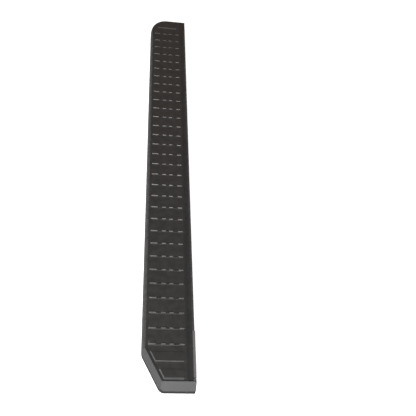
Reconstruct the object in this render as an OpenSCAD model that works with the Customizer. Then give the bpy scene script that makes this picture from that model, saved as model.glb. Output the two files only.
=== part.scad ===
// Vehicle running board: an extruded rail with a moulded tread cover, two moulded end caps and
// six T-bolts that slide in the rail's two channels.
// X runs from the outer edge (-) to the vehicle side (+), Y from the angled end (-) to the
// rounded end (+), Z up. The origin is the middle of the board, on the plane it rests on.

/* [Board] */
// Overall length, angled end to rounded end
board_l = 1876; // [1660:54:2200]
// Overall width, outer edge to vehicle side
board_w = 165; // [163:1:172]
// Height of the tread surface above the resting plane
deck_z = 44; // [43:1:48]
// Thickness of the cap walls and of the rail's skin
wall_t = 3; // [2.6:0.1:3.2]
// Gap left at the seams between neighbouring pieces
seam = 0.3; // [0.2:0.05:0.5]

/* [Outer nosing] */
// Width of the rounded nosing, seen from above
nosing_w = 11.5; // [10:0.5:13]
// Height over which the nosing curves down
nosing_h = 25; // [22:1:26]
// Width of the foot turned in under the outer wall
foot_w = 12; // [8:1:14]

/* [Vehicle-side flange] */
// Distance from the middle to the step pad's edge on the vehicle side
pad_x = 60; // [58:0.5:61]
// Distance from the middle to the drip groove's bottom
groove_x = 68; // [67:0.5:69]
// Depth of the drip groove under the tread surface
groove_d = 3.8; // [3:0.1:4]
// Distance from the middle to the foot of the lip
lip_x = 74.5; // [74:0.5:75]
// Height of the vehicle-side wall
flange_h = 16; // [14:1:16.5]

/* [Step pad] */
// Thickness of the step pad
pad_t = 3; // [2.8:0.1:3.2]
// Distance between neighbouring rows of tread bars
row_pitch = 54; // [54:1:60]
// From the rounded end to the first row of bars
first_row = 117; // [112:1:125]
// From the angled end to the last row of bars, at least
last_row = 138; // [130:1:140]
// Height of a tread bar
bar_h = 2; // [1.5:0.1:2.5]
// Width of a tread bar
bar_w = 5.5; // [4:0.5:7]
// Height of the low ridge that joins the bars of a row
ridge_h = 0.9; // [0.5:0.1:1.2]
// Width of the ridge
ridge_w = 10; // [8:1:12]
// Width of the border groove along the angled end
border_w = 9; // [7:0.5:10]
// Depth of the border groove
border_d = 1.5; // [1:0.1:1.8]

/* [Angled end] */
// Length of the outer edge that the diagonal takes off
diagonal_l = 118; // [110:1:124]
// Width of the board that the diagonal takes off
diagonal_w = 59; // [54:1:62]
// Length of the sloped face at the tip, seen from above
tip_run = 20; // [16:1:24]
// Width of the sloped face on the diagonal, seen from above
diagonal_run = 12; // [10:0.5:14]
// Distance from the tip to the joint with the rail
angled_joint = 128; // [126:1:134]
// Length of the sleeve over the rail's lip, from the joint
sleeve_l = 58; // [40:1:70]
// Thickness of the sleeve
sleeve_t = 1.5; // [1.3:0.1:1.6]

/* [Rounded end] */
// Distance from the tip to the joint with the rail
rounded_joint = 108; // [104:1:114]
// Length of the rounded outer corner
corner_l = 88; // [80:1:94]
// Width of the rounded outer corner
corner_w = 74; // [68:1:78]
// Width of the rim round the step pad
rim_w = 8; // [7:0.5:10]

/* [Bolt channels] */
// Distance of each channel from the middle of the board
channel_x = 32; // [31:0.5:33]
// Inside width of a channel
channel_w = 15.6; // [15.6:0.1:16]
// Inside height of a channel
channel_h = 7.5; // [7:0.1:8]
// Width of the slot between the lips
slot_w = 9; // [8.8:0.1:9.4]

/* [Hidden] */
STATIONS = ["angled", "middle", "rounded"];
SIDES = ["outer", "inner"];
$fn = 32;
far = 400;

// Plan positions
x_out = -board_w / 2;
x_in = board_w / 2;
y_tip = -board_l / 2;
y_round = board_l / 2;
y_joint_a = y_tip + angled_joint;
y_joint_r = y_round - rounded_joint;
rail_in = x_in - sleeve_t - 0.2;
nosing_x = x_out + nosing_w;

// Heights
nosing_z = deck_z - nosing_h;
plate_z = deck_z - pad_t;
under_z = plate_z - wall_t;
flange_z = deck_z - flange_h - 0.5;
lip_z = deck_z - 0.5;
sleeve_z = deck_z + 1.2;
slot_z = under_z - channel_h - wall_t;

// Angled end
diagonal_side = norm([diagonal_w, diagonal_l]);
shoulder_r = 40;
nose_r = 22;
edge_r = 2;
ridge_land = 1.5;
notch_w = 11;
rib_t = 2;
rib_z = 20;
cap_root = 12;
tongue_h = 10;
tongue_l = 40;
TONGUES = [[-73, -44.5], [-19, 19], [45, 59]];

// Bolts, stops and fixings
channel_wall = 2.5;
bolt_r = 4;
bolt_neck_r = 3.6;
bolt_l = 25;
bolt_tip = 1;
head_w = 15;
head_h = 5.5;
slide_gap = 0.3;
retainer_r = 9;
retainer_t = 2;
neck_l = wall_t + 2 * slide_gap + retainer_t + 0.2;
stop_l = 20;
station_gap = (y_joint_r - y_joint_a - 2 * stop_l - 4) / 3;
station_mid = (y_joint_r + y_joint_a) / 2;
screw_r = 2.4;
screw_head_r = 4.8;
screw_head_h = 2.4;
screw_l = 12;
screw_inset = 20;
screw_x = [-56, 0, 54];
clip_x = [-56, 48];
clip_count = 8;
clip_inset = 90;
clip_r = 3.2;
clip_head_r = 6;
clip_head_t = 1.4;
tape_w = 18;
tape_t = 1;
tape_x = [-32, 14];
tape_y = [y_joint_a + 60, y_joint_r - 60];

// Tread rows: X of each bar's two ends, then the row positions along Y
BARS = [[-64.5, -38.1], [-24.6, -7.9], [1.2, 17.2], [32.7, 51]];
row_count = 1 + floor((board_l - first_row - last_row) / row_pitch);
row_y = [for (i = [0:row_count - 1]) y_round - first_row - i * row_pitch];
END_BAR = [-49, 42.6];
end_bar_y = y_round - 67;
pad_slope_w = 7;
pad_drop = 2;

// Panels beside the diagonal: distances from the tip to the far edge, near edge and foot
PANELS = [[114, 84, 76], [58, 33, 31]];
panel_h = 1.2;
panel_right = 46;
panel_gap = 11;

// Points on an elliptical quarter, from its side to its top
function quarter(cx, cz, a, b, n = 10) = [for (i = [0:n]) [cx - a * cos(90 * i / n), cz + b * sin(90 * i / n)]];

function backwards(list) = [for (i = [len(list) - 1:-1:0]) list[i]];

// Plan outline of the rounded end: its curved sides drawn in by inset, with a wall t on the vehicle side
function rounded_outline(inset, t) =
    let (tip_inset = t + (inset - t) * rim_w / nosing_w, y0 = y_joint_r + seam / 2)
    concat([[rail_in - t, y0], [rail_in - t, y_round - tip_inset]],
           backwards(quarter(x_out + corner_w, y_round - corner_l, corner_w - inset, corner_l - tip_inset, 16)),
           [[x_out + inset, y0]]);

// Solid between plan outlines that run anticlockwise and have the same number of points
module loft(outlines, heights) {
    n = len(outlines[0]);
    m = len(outlines);
    points = [for (k = [0:m - 1], p = outlines[k]) [p[0], p[1], heights[k]]];
    sides = [for (k = [0:m - 2], i = [0:n - 1])
        let (a = k * n + i, b = k * n + (i + 1) % n) each [[a, a + n, b], [b, a + n, b + n]]];
    polyhedron(points, concat([[for (i = [0:n - 1]) i]], sides, [[for (i = [n - 1:-1:0]) (m - 1) * n + i]]));
}

// Extrudes an X-Z section along Y
module along_y(y0, y1) {
    translate([0, y1, 0]) rotate([90, 0, 0]) linear_extrude(y1 - y0) children();
}

// Extrudes a Y-Z section along X
module along_x(x0, x1) {
    translate([x0, 0, 0]) rotate([90, 0, 90]) linear_extrude(x1 - x0) children();
}

// Box between two corners
module block(low, high) {
    translate(low) cube(high - low);
}

// Points that round the corner b between a and c
function corner(a, b, c, r, n = 6) =
    let (u = (a - b) / norm(a - b), v = (c - b) / norm(c - b),
         half = acos(u * v) / 2,
         centre = b + (u + v) / norm(u + v) * r / sin(half),
         s = b + u * r / tan(half) - centre,
         e = b + v * r / tan(half) - centre,
         start = atan2(s[1], s[0]),
         sweep = (atan2(e[1], e[0]) - start + 540) % 360 - 180)
    [for (i = [0:n]) centre + r * [cos(start + sweep * i / n), sin(start + sweep * i / n)]];

// Where a line parallel to the diagonal, a distance d inside its wall, crosses a given Y or X
function diagonal_x(y, d) = x_out + (d * diagonal_side - diagonal_w * (y - y_tip - diagonal_l)) / diagonal_l;
function diagonal_y(x, d) = y_tip + diagonal_l + (d * diagonal_side - diagonal_l * (x - x_out)) / diagonal_w;

// Section across a sloped face: distance inwards from the wall, then height; t draws it in
function slope_section(run, t) =
    let (length = norm([run, nosing_h]))
    [[t, -1], [t, nosing_z - t * (length - nosing_h) / run],
     [t * length / nosing_h + run * (nosing_h - t) / nosing_h, deck_z - t], [far, deck_z - t], [far, -1]];

// Plan outline of the angled end, drawn in by t
function angled_outline(t) =
    let (a = [x_out + t, y_joint_a],
         b = [x_out + t, diagonal_y(x_out + t, t)],
         c = [diagonal_x(y_tip + t, t), y_tip + t],
         d = [x_in - t, y_tip + t],
         e = [x_in - t, y_joint_a])
    concat([a], corner(a, b, c, shoulder_r - t), corner(b, c, d, nose_r - t), corner(c, d, e, edge_r), [e]);

// Outline of the step pad, grown by g
function pad_outline(g) =
    let (x0 = nosing_x + seam - g,
         y0 = y_tip + tip_run + ridge_land + seam - g,
         d = diagonal_run + ridge_land + seam - g,
         y1 = y_round - rim_w - seam + g)
    concat([[x0, diagonal_y(x0, d)], [diagonal_x(y0, d), y0], [pad_x + g, y0], [pad_x + g, y1]],
           backwards(quarter(x_out + corner_w, y_round - corner_l, corner_w - nosing_w - seam + g,
                             corner_l - rim_w - seam + g, 16)));

// Surface of the drip groove and the lip, from the pad's edge
groove_profile = [[pad_x, plate_z], [groove_x - 2, deck_z - groove_d], [groove_x + 2, deck_z - groove_d],
                  [lip_x, lip_z]];
lip_round = 1.2;

// Bolt channel that hangs under the deck plate
module channel_section() {
    difference() {
        translate([-channel_w / 2 - channel_wall, slot_z])
            square([channel_w + 2 * channel_wall, channel_h + 1.5 * wall_t]);
        translate([-channel_w / 2, slot_z + wall_t]) square([channel_w, channel_h]);
        translate([-slot_w / 2, slot_z - 1]) square([slot_w, wall_t + 2]);
    }
}

// Skin of the rail: outer wall, nosing, deck plate, drip groove and vehicle-side wall
module skin_section() {
    hollow_z = deck_z - groove_d - wall_t;
    top_turn = asin((under_z - nosing_z) / (nosing_h - wall_t));
    inside = [for (i = [0:8]) [nosing_x - (nosing_w - wall_t) * cos(top_turn * i / 8),
                               nosing_z + (nosing_h - wall_t) * sin(top_turn * i / 8)]];
    difference() {
        polygon(concat([[x_out, 0]], quarter(nosing_x, nosing_z, nosing_w, nosing_h), [[nosing_x, plate_z]],
                       groove_profile, [[rail_in - lip_round, lip_z], [rail_in, lip_z - lip_round], [rail_in, 0]]));
        polygon(concat([[x_out + wall_t, -1]], inside,
                       [[pad_x - 1, under_z], [pad_x + 2, hollow_z], [rail_in - wall_t, hollow_z],
                        [rail_in - wall_t, flange_z], [rail_in + 1, flange_z], [rail_in + 1, -1]]));
    }
}

// Repeats its children at every cover clip
module at_clips() {
    y0 = y_joint_a + clip_inset;
    step = (y_joint_r - y_joint_a - 2 * clip_inset) / (clip_count - 1);
    for (x = clip_x, i = [0:clip_count - 1])
        translate([x, y0 + i * step, plate_z]) children();
}

// Repeats its children at the screws of one end, at the rail's top face
module at_screws(y) {
    for (x = screw_x)
        translate([x, y, plate_z]) children();
}

module main_rail() {
    y0 = y_joint_a + seam / 2;
    y1 = y_joint_r - seam / 2;
    color("#33312f")
    difference() {
        union() {
            along_y(y0, y1) skin_section();
            block([x_out + 1, y0, 0], [x_out + foot_w, y1, wall_t]);
            for (side = [-1, 1])
                translate([side * channel_x, 0, 0]) along_y(y0, y1) channel_section();
        }
        at_clips() translate([0, 0, -wall_t - 1]) cylinder(r = clip_r + 0.15, h = wall_t + 2);
        for (y = [y_joint_a + screw_inset, y_joint_r - screw_inset])
            at_screws(y) {
                translate([0, 0, -wall_t - 1]) cylinder(r = screw_r + 0.2, h = wall_t + 2);
                translate([0, 0, -screw_head_h]) cylinder(r1 = screw_r + 0.1, r2 = screw_head_r + 0.1, h = screw_head_h);
                cylinder(r = screw_head_r + 0.1, h = 1);
            }
    }
}

// One row of tread bars on its low ridge
module tread_row() {
    for (bar = BARS)
        linear_extrude(bar_h) {
            translate([bar[0] + bar_w / 2, -bar_w / 2]) square([bar[1] - bar[0] - bar_w, bar_w]);
            for (x = [bar[0] + bar_w / 2, bar[1] - bar_w / 2])
                translate([x, 0]) circle(d = bar_w);
        }
    along_x(BARS[0][0] + 2, BARS[3][1] - 2)
        polygon([[-ridge_w * 0.6, -0.5], [-ridge_w * 0.6, 0], [-ridge_w * 0.35, ridge_h],
                 [ridge_w * 0.1, ridge_h], [ridge_w * 0.4, 0], [ridge_w * 0.4, -0.5]]);
}

// Raised panel beside the diagonal; its edges are distances from the tip
module tread_panel(far_edge, near_edge, foot) {
    d = diagonal_run + panel_gap;
    function plan(y0, y1, grow) =
        [[diagonal_x(y1, d) - grow, y1], [diagonal_x(y0, d) - grow, y0], [panel_right, y0], [panel_right, y1]];
    loft([plan(y_tip + foot, y_tip + far_edge, 1.5), plan(y_tip + foot, y_tip + far_edge, 1.5),
          plan(y_tip + near_edge, y_tip + far_edge - 1, 0)],
         [deck_z - 1, deck_z, deck_z + panel_h]);
}

module tread_cover() {
    x0 = nosing_x - 1;
    y0 = y_tip + tip_run + ridge_land + seam + border_w;
    d = diagonal_run + ridge_land + seam + border_w;
    color("#3c3a39")
    difference() {
        union() {
            difference() {
                translate([0, 0, plate_z]) linear_extrude(pad_t) polygon(pad_outline(0));
                // Slope down to the drip groove
                along_y(y_tip, y_round)
                    polygon([[pad_x - pad_slope_w, deck_z], [pad_x - pad_slope_w, deck_z + 1],
                             [pad_x + 1, deck_z + 1], [pad_x + 1, deck_z - pad_drop]]);
                // Border groove along the angled end
                difference() {
                    block([x0, y_tip, deck_z - border_d], [pad_x + 1, y_joint_a + 20, deck_z + 1]);
                    translate([0, 0, plate_z]) linear_extrude(pad_t + 2)
                        polygon([[x0, diagonal_y(x0, d)], [diagonal_x(y0, d), y0], [pad_x + 2, y0],
                                 [pad_x + 2, 0], [x0, 0]]);
                }
            }
            for (y = row_y)
                translate([0, y, deck_z]) tread_row();
            for (p = PANELS)
                tread_panel(p[0], p[1], p[2]);
            block([END_BAR[0], end_bar_y - bar_w / 2, deck_z - 0.5], [END_BAR[1], end_bar_y + bar_w / 2, deck_z + bar_h]);
        }
        at_clips() translate([0, 0, -1]) cylinder(r = clip_head_r + 0.2, h = clip_head_t + 1.1);
        for (x = tape_x)
            block([x - tape_w / 2 - 0.2, tape_y[0] - 0.2, plate_z - 1], [x + tape_w / 2 + 0.2, tape_y[1] + 0.2, plate_z + tape_t]);
    }
}

// Solid inside the angled cap's faces, drawn in by t
module angled_solid(t) {
    intersection() {
        along_y(y_tip - 1, y_joint_a - seam / 2)
            polygon(concat([[x_out + t, -1]], quarter(nosing_x, nosing_z, nosing_w - t, nosing_h - t),
                           [[far, deck_z - t], [far, -1]]));
        translate([0, y_tip, 0]) rotate(90) along_y(-far, far) polygon(slope_section(tip_run, t));
        translate([x_out, y_tip + diagonal_l, 0]) rotate(atan2(diagonal_w, diagonal_l))
            along_y(-far, far) polygon(slope_section(diagonal_run, t));
        linear_extrude(deck_z) polygon(angled_outline(t));
    }
}

// Tongues that enter the rail, on the joint plane, pointing along +Y
module tongues() {
    for (x = TONGUES) {
        block([x[0], -cap_root, under_z - tongue_h], [x[1], -seam / 2, under_z + 1]);
        block([x[0], -cap_root, under_z - tongue_h], [x[1], tongue_l, under_z - seam]);
    }
}

module angled_end_cap() {
    ridge_y = y_tip + tip_run + ridge_land;
    color("#5e5d5e")
    difference() {
        union() {
            difference() {
                angled_solid(0);
                intersection() {
                    angled_solid(wall_t);
                    block([x_out, y_tip, -1], [x_in, y_joint_a, under_z]);
                }
            }
            // Stiffening ribs and the bulkhead behind the rail's end
            intersection() {
                angled_solid(wall_t / 2);
                union() {
                    for (y = [y_tip + 45, y_tip + 85])
                        block([x_out, y, rib_z], [x_in, y + rib_t, under_z + 1]);
                    block([20, y_tip, rib_z], [20 + rib_t, y_joint_a, under_z + 1]);
                    block([x_out, y_joint_a - cap_root, 1], [x_in, y_joint_a - cap_root + rib_t, under_z + 1]);
                }
            }
            // Strip along the vehicle side, carried over the rail's lip as a sleeve
            block([lip_x, ridge_y + notch_w, under_z], [x_in, y_joint_a - seam / 2, sleeve_z]);
            block([lip_x, y_joint_a - 1, lip_z + 0.2], [x_in, y_joint_a + sleeve_l, sleeve_z]);
            block([x_in - sleeve_t, y_joint_a - 1, flange_z], [x_in, y_joint_a + sleeve_l, sleeve_z]);
            intersection() {
                translate([0, y_joint_a, 0]) tongues();
                union() {
                    angled_solid(wall_t / 2);
                    block([x_out, y_joint_a - 1, 0], [x_in, y_joint_a + tongue_l, deck_z]);
                }
            }
        }
        translate([0, 0, plate_z]) linear_extrude(10) polygon(pad_outline(seam));
        along_y(ridge_y, y_joint_a + 1)
            polygon(concat(groove_profile, [[lip_x, deck_z + 5], [pad_x, deck_z + 5]]));
        block([lip_x - 1, ridge_y, plate_z], [x_in + 1, ridge_y + notch_w, deck_z + 5]);
        at_screws(y_joint_a + screw_inset) translate([0, 0, -screw_l - 2]) cylinder(r = screw_r + 0.05, h = screw_l + 2);
    }
}

// Solid inside the rounded cap's faces, drawn in by t, up to a height
module rounded_solid(t, top) {
    rings = 8;
    curve = [for (i = [0:rings]) nosing_z + (top - nosing_z) * sin(90 * i / rings)];
    heights = concat([t > 0 ? -1 : 0], curve);
    function inset(z) = nosing_w - (nosing_w - t) * sqrt(max(0, 1 - pow(max(0, z - nosing_z) / (nosing_h - t), 2)));
    loft([for (z = heights) rounded_outline(inset(z), t)], heights);
}

module rounded_end_cap() {
    color("#3a3532")
    difference() {
        union() {
            difference() {
                rounded_solid(0, deck_z);
                rounded_solid(wall_t, under_z);
            }
            intersection() {
                rounded_solid(wall_t / 2, under_z + 1);
                union() {
                    block([x_out, y_round - 50, rib_z], [x_in, y_round - 50 + rib_t, under_z + 1]);
                    block([0, y_joint_r, rib_z], [rib_t, y_round, under_z + 1]);
                    block([x_out, y_joint_r + cap_root - rib_t, 1], [x_in, y_joint_r + cap_root, under_z + 1]);
                }
            }
            translate([0, y_joint_r, 0]) mirror([0, 1, 0]) tongues();
        }
        translate([0, 0, plate_z]) linear_extrude(10) polygon(pad_outline(seam));
        along_y(y_joint_r - 1, y_round - rim_w)
            polygon(concat(groove_profile, [[lip_x, deck_z + 5], [pad_x, deck_z + 5]]));
        at_screws(y_joint_r - screw_inset) translate([0, 0, -screw_l - 2]) cylinder(r = screw_r + 0.05, h = screw_l + 2);
    }
}

// Countersunk screw, its head flush with the plane z = 0
module cap_screw() {
    difference() {
        union() {
            translate([0, 0, -screw_head_h]) cylinder(r1 = screw_r, r2 = screw_head_r, h = screw_head_h);
            translate([0, 0, -screw_l]) cylinder(r = screw_r, h = screw_l);
        }
        for (turn = [0, 90])
            rotate(turn) block([-2.4, -0.5, -1.4], [2.4, 0.5, 1]);
    }
}

module angled_cap_screws() {
    color("#8d9093") at_screws(y_joint_a + screw_inset) cap_screw();
}

module rounded_cap_screws() {
    color("#8d9093") at_screws(y_joint_r - screw_inset) cap_screw();
}

module cover_clips() {
    barbs = 3;
    pitch = 2.4;
    color("#26282b")
    at_clips() {
        cylinder(r = clip_head_r, h = clip_head_t);
        translate([0, 0, -wall_t - barbs * pitch - 1]) cylinder(r = clip_r - 0.6, h = wall_t + barbs * pitch + 1.5);
        translate([0, 0, -wall_t]) cylinder(r = clip_r, h = wall_t + 0.5);
        for (i = [1:barbs])
            translate([0, 0, -wall_t - i * pitch - 0.2]) cylinder(r1 = clip_r - 0.4, r2 = clip_r + 1.2, h = pitch - 0.4);
    }
}

module cover_tapes() {
    color("#4b4d50")
    for (x = tape_x)
        block([x - tape_w / 2, tape_y[0], plate_z], [x + tape_w / 2, tape_y[1], plate_z + tape_t]);
}

module channel_stops() {
    floor_z = slot_z + wall_t;
    color("#1f1f20")
    for (side = [-1, 1], y = [y_joint_a + 0.5, y_joint_r - 0.5 - stop_l])
        translate([side * channel_x, y, 0]) {
            block([0.05 - channel_w / 2, 0, floor_z + 0.02], [channel_w / 2 - 0.05, stop_l, under_z - 0.05]);
            block([0.1 - slot_w / 2, 0, slot_z], [slot_w / 2 - 0.1, stop_l, floor_z + 0.5]);
        }
}

function bolt_at(s, c) = [channel_x * (2 * c - 1), station_mid + (s - 1) * station_gap, slot_z + wall_t + slide_gap];

module t_bolt(s, c) {
    color("#a3a5a6")
    translate(bolt_at(s, c)) {
        intersection() {
            block([-head_w / 2, -head_w / 2, 0], [head_w / 2, head_w / 2, head_h]);
            cylinder(r = head_w * 0.66, h = head_h);
        }
        translate([0, 0, bolt_tip - bolt_l]) cylinder(r = bolt_neck_r, h = bolt_l - bolt_tip + 1);
        translate([0, 0, bolt_tip - bolt_l]) cylinder(r = bolt_r, h = bolt_l - bolt_tip - neck_l);
        translate([0, 0, -bolt_l]) cylinder(r1 = bolt_r - bolt_tip, r2 = bolt_r, h = bolt_tip);
    }
}

module bolt_retainer(s, c) {
    color("#d8d6cf")
    translate(bolt_at(s, c) - [0, 0, wall_t + 2 * slide_gap + retainer_t])
        difference() {
            cylinder(r = retainer_r, h = retainer_t);
            translate([0, 0, -1]) cylinder(r = bolt_neck_r + 0.05, h = retainer_t + 2);
            translate([0, 0, -1]) cylinder(r = bolt_r + 0.05, h = retainer_t / 2 + 1);
        }
}

main_rail();
tread_cover();
angled_end_cap();
rounded_end_cap();
angled_cap_screws();
rounded_cap_screws();
cover_clips();
cover_tapes();
channel_stops();
for (s = [0:2], c = [0:1]) {
    t_bolt(s, c);
    bolt_retainer(s, c);
}
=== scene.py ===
from math import asin, cos, hypot, pi, radians, sin, tan

import bmesh
import bpy
from mathutils import Matrix, Vector


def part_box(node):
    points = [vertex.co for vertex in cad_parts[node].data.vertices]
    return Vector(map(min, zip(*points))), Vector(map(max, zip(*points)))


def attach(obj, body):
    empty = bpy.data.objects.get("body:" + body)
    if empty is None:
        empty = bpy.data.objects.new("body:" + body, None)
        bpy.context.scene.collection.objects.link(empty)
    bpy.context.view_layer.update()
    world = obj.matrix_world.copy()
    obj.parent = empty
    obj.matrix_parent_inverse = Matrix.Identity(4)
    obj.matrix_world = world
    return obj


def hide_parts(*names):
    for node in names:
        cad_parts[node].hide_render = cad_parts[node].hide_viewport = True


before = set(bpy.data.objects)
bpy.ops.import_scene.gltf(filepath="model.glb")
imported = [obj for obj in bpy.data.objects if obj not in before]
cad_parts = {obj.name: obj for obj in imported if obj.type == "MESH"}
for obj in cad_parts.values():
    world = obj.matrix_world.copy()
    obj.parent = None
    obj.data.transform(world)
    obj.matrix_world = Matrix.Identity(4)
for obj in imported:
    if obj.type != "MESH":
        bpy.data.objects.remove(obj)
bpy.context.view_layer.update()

MM = 0.001

# Board, in millimetres: X towards the vehicle, Y from the angled end to the rounded end, Z up
X_OUT, X_IN = -82.5, 82.5
Y_TIP, Y_ROUND = -938.0, 938.0
DECK_Z = 44.0
PAD_T = 3.0
SKIN_T = 3.0
SEAM = 0.3
PLATE_Z = DECK_Z - PAD_T
UNDER_Z = PLATE_Z - SKIN_T
NOSING_W, NOSING_H = 11.5, 25.0
NOSING_X = X_OUT + NOSING_W
NOSING_Z = DECK_Z - NOSING_H
FOOT_W = 12.0
RAIL_IN = 80.8
LIP_Z = DECK_Z - 0.5
DRIP_D = 3.8
DRIP_X = (66.0, 70.0)
LIP_EDGE = 74.5
HOLLOW_X = (62.0, 59.0)
JOINT_ANGLED, JOINT_ROUND = -810.0, 830.0

# Bolt channels
CHANNEL_X = 32.0
CHANNEL_HALF = 7.8
CHANNEL_WALL = 2.5
CHANNEL_FLOOR = 30.5
CHANNEL_LIP = 27.5
SLOT_HALF = 4.5

# Tread
BARS = ((-64.5, -38.1), (-24.6, -7.9), (1.2, 17.2), (32.7, 51.0))
ROWS = 31
ROW_PITCH = 54.0
FIRST_ROW = 821.0
BAR_W, BAR_H = 5.5, 2.0
RIDGE_H = 0.9
RIDGE_X = (-62.5, 49.0)
RIDGE_FOOT = (-6.0, -3.5, 1.0, 4.0)
END_BAR = (-49.0, 42.6)
END_BAR_Y = 871.0
PAD_X = 60.0
PAD_SLOPE_W, PAD_DROP = 7.0, 2.0
GROOVE_W, GROOVE_D = 9.0, 1.5
DIAGONAL_L, DIAGONAL_W = 118.0, 59.0
DIAGONAL = hypot(DIAGONAL_L, DIAGONAL_W)
TIP_RUN, DIAGONAL_RUN = 20.0, 12.0
RIDGE_LAND = 1.5
RIM_W = 8.0
CORNER_W, CORNER_L = 74.0, 88.0

# Panels beside the diagonal: far edge, near edge and foot as distances from the tip, and the foot's height
PANELS = ((114.0, 84.0, 76.0, DECK_Z), (58.0, 33.0, 26.5, DECK_Z - GROOVE_D))
PANEL_H = 1.2
PANEL_EDGE, PANEL_WALL = 2.2, 3.2
PANEL_RIGHT = 46.0
PANEL_GAP = 11.0

# Wedges behind the two rows nearest the tip: Y, length and height, then the X of foot, side and right end
WEDGES = ((-799.0, 12.0, 1.3), (-745.0, 9.0, 0.9))
WEDGE_X = (-63.0, -60.5, -40.0)

# Angled cap
GROOVE_EDGE = 74.7
# Height under which the angled cap's walls get a darker colour: a painted shade
WALL_TOP = 18.5
LIP_NOTCHES = ((21.9, 24.4), (29.4, 32.2))
NOTCH_X = 72.0
NOTCH_FLOOR = PLATE_Z - 1.2

# Bolts and their retainers
BOLT_R, BOLT_NECK_R, BOLT_CORE_R = 4.0, 3.6, 3.38
BOLT_PITCH = 1.25
BOLT_TOP, BOLT_BOTTOM = 30.8, 5.8
THREAD_TOP = 25.0
THREAD_SHARE = 0.52
TIP_CHAMFER = 0.9
HEAD_CORNER = 2.2
HEAD_W, HEAD_H = 15.0, 5.5
RETAINER_R, RETAINER_T = 9.0, 2.0
RETAINER_Z = THREAD_TOP + 0.2
RETAINER_EDGE = 0.35
RETAINER_TEETH = 6

# Finishes: Y where the painted highlight and polish on the bar tops are strongest, how far from it in
# metres they fade, and what rubbing does to the roughness of plastic and to the brightness of powder coat
GLINT_AND_POLISH_MIDDLE = 150.0
GLINT_AND_POLISH_REACH = (0.22, 0.86)
RUBBED_PLASTIC, RUBBED_COAT = -0.12, 2.6

# Camera and floor
CAMERA_PLACE = (-142.6, -1608.5, 1682.8)
CAMERA_TURN = (12.0, 49.741, 12.276)
LENS_MM, SENSOR_MM = 50.35, 36.0
FLOOR_SIZE = 30.0
FLOOR_LIFT = 0.7


# ---------------------------------------------------------------- plan helpers

def diagonal_x(y, d):
    """X where the line a distance d inside the diagonal wall crosses y."""
    return X_OUT + (d * DIAGONAL - DIAGONAL_W * (y - Y_TIP - DIAGONAL_L)) / DIAGONAL_L


def diagonal_y(x, d):
    """Y where the line a distance d inside the diagonal wall crosses x."""
    return Y_TIP + DIAGONAL_L + (d * DIAGONAL - DIAGONAL_L * (x - X_OUT)) / DIAGONAL_W


def quarter(cx, cz, a, b, n):
    """Points of an elliptical quarter, from its side to its top."""
    turns = [pi / 2 * i / n for i in range(n + 1)]
    return [(cx - a * cos(t), cz + b * sin(t)) for t in turns]


def rounded(corners, steps=4):
    """Outline through (x, y, radius) corners, each rounded by its radius."""
    out = []
    count = len(corners)
    for i, (x, y, r) in enumerate(corners):
        here = Vector((x, y))
        if r <= 0:
            out.append((x, y))
            continue
        before = Vector(corners[i - 1][:2]) - here
        after = Vector(corners[(i + 1) % count][:2]) - here
        u, v = before.normalized(), after.normalized()
        half = u.angle(v) / 2
        reach = min(r / tan(half), before.length * 0.49, after.length * 0.49)
        start, end = here + u * reach, here + v * reach
        for k in range(steps + 1):
            t = k / steps
            point = start.lerp(here, t).lerp(here.lerp(end, t), t)
            out.append((point.x, point.y))
    return out


# ---------------------------------------------------------------- mesh helpers

def link(name, mesh):
    piece = bpy.data.objects.new(name, mesh)
    bpy.context.scene.collection.objects.link(piece)
    return piece


def mesh_from(name, bm):
    """Turns a bmesh into a linked object with outward faces."""
    bmesh.ops.recalc_face_normals(bm, faces=bm.faces)
    mesh = bpy.data.meshes.new(name)
    bm.to_mesh(mesh)
    bm.free()
    return link(name, mesh)


def stack(bm, rings):
    """Closed solid through rings of equal length, given in millimetres."""
    rows = [[bm.verts.new(Vector(p) * MM) for p in ring] for ring in rings]
    count = len(rows[0])
    for low, high in zip(rows, rows[1:]):
        for i in range(count):
            j = (i + 1) % count
            bm.faces.new((low[i], low[j], high[j], high[i]))
    bm.faces.new(list(reversed(rows[0])))
    bm.faces.new(rows[-1])


def prism_y(name, outline, y0, y1):
    bm = bmesh.new()
    stack(bm, [[(x, y, z) for x, z in outline] for y in (y0, y1)])
    return mesh_from(name, bm)


def prism_z(name, outline, z0, z1):
    bm = bmesh.new()
    stack(bm, [[(x, y, z) for x, y in outline] for z in (z0, z1)])
    return mesh_from(name, bm)


def settle(piece):
    """Replaces a piece by the plain mesh its modifiers make."""
    bpy.context.view_layer.update()
    graph = bpy.context.evaluated_depsgraph_get()
    made = bpy.data.meshes.new_from_object(piece.evaluated_get(graph))
    piece.modifiers.clear()
    piece.data = made
    return piece


def cut(piece, tool):
    step = piece.modifiers.new("cut", "BOOLEAN")
    step.operation = "DIFFERENCE"
    step.solver = "EXACT"
    step.object = tool
    settle(piece)
    bpy.data.objects.remove(tool)


def weld(piece, reach=1e-6, flat=0.3):
    """Merges doubled corners and clears the edges inside flat faces."""
    bm = bmesh.new()
    bm.from_mesh(piece.data)
    bmesh.ops.remove_doubles(bm, verts=bm.verts, dist=reach)
    bmesh.ops.dissolve_limit(bm, angle_limit=radians(flat), verts=bm.verts, edges=bm.edges,
                             delimit={"NORMAL"})
    bm.to_mesh(piece.data)
    bm.free()


def soften(piece, width, segments=2, limit=30, clamp=True):
    """Rounds the sharp edges of a piece by width millimetres."""
    step = piece.modifiers.new("soft edges", "BEVEL")
    step.width = width * MM
    step.segments = segments
    step.limit_method = "ANGLE"
    step.angle_limit = radians(limit)
    step.use_clamp_overlap = clamp
    step.miter_outer = "MITER_ARC"
    settle(piece)


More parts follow.
